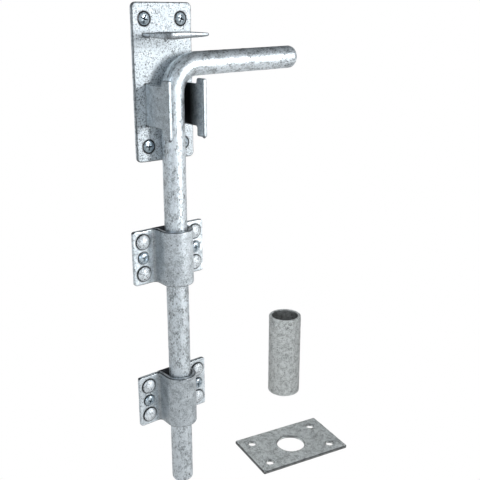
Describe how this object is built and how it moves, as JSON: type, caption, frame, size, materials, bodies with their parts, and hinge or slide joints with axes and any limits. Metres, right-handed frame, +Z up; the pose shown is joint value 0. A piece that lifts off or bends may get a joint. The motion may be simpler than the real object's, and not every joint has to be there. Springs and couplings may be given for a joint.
{
  "type": "cane bolt",
  "caption": "Galvanised lockable cane bolt for a gate: bent round bar in strap guides, lock plate with cheeks and a park hook, ground sleeve and strike plate.",
  "frame": {"origin": "centre of the lock plate's screw pattern, on the gate's face", "axes": "+Z up along the bar, +Y into the gate, +X to the right of a viewer who faces the bolt"},
  "size_m": [0.2007, 0.1235, 0.3563],
  "materials": {
    "bar": "hot-dip galvanised, bright, with a fine grain",
    "plate": "hot-dip galvanised, speckled",
    "guide": "hot-dip galvanised, smoother and darker",
    "screw": "bright zinc plated",
    "bolt": "zinc plated",
    "ground": "matt galvanised"
  },
  "bodies": {
    "fixed_fittings": {"lock_plate": "plate", "cheek_left": "plate", "cheek_right": "plate", "park_hook": "plate", "guide_upper": "guide", "guide_lower": "guide", "ground_sleeve": "ground", "strike_plate": "ground", "plate_screw_top_left": "screw", "plate_screw_top_right": "screw", "plate_screw_bottom_left": "screw", "plate_screw_bottom_right": "screw", "guide_screw_upper_left": "screw", "carriage_bolt_upper_left_top": "bolt", "washer_upper_left_top": "bolt", "hex_nut_upper_left_top": "bolt", "carriage_bolt_upper_left_bottom": "bolt", "washer_upper_left_bottom": "bolt", "hex_nut_upper_left_bottom": "bolt", "guide_screw_upper_right": "screw", "carriage_bolt_upper_right_top": "bolt", "washer_upper_right_top": "bolt", "hex_nut_upper_right_top": "bolt", "carriage_bolt_upper_right_bottom": "bolt", "washer_upper_right_bottom": "bolt", "hex_nut_upper_right_bottom": "bolt", "guide_screw_lower_left": "screw", "carriage_bolt_lower_left_top": "bolt", "washer_lower_left_top": "bolt", "hex_nut_lower_left_top": "bolt", "carriage_bolt_lower_left_bottom": "bolt", "washer_lower_left_bottom": "bolt", "hex_nut_lower_left_bottom": "bolt", "guide_screw_lower_right": "screw", "carriage_bolt_lower_right_top": "bolt", "washer_lower_right_top": "bolt", "hex_nut_lower_right_top": "bolt", "carriage_bolt_lower_right_bottom": "bolt", "washer_lower_right_bottom": "bolt", "hex_nut_lower_right_bottom": "bolt"},
    "cane_lower": {"cane_rod": "bar"},
    "cane_upper": {"cane_handle": "bar"}
  },
  "joints": [
    {"name": "cane_lift", "type": "slide", "parent": "fixed_fittings", "child": "cane_lower", "axis": [0, 0, 1], "range_m": [0, 0.035]},
    {"name": "cane_turn", "type": "hinge", "parent": "cane_lower", "child": "cane_upper", "pos_m": [0, -0.0124, -0.0991], "axis": [0, 0, 1], "range_deg": [-180, 0]}
  ]
}
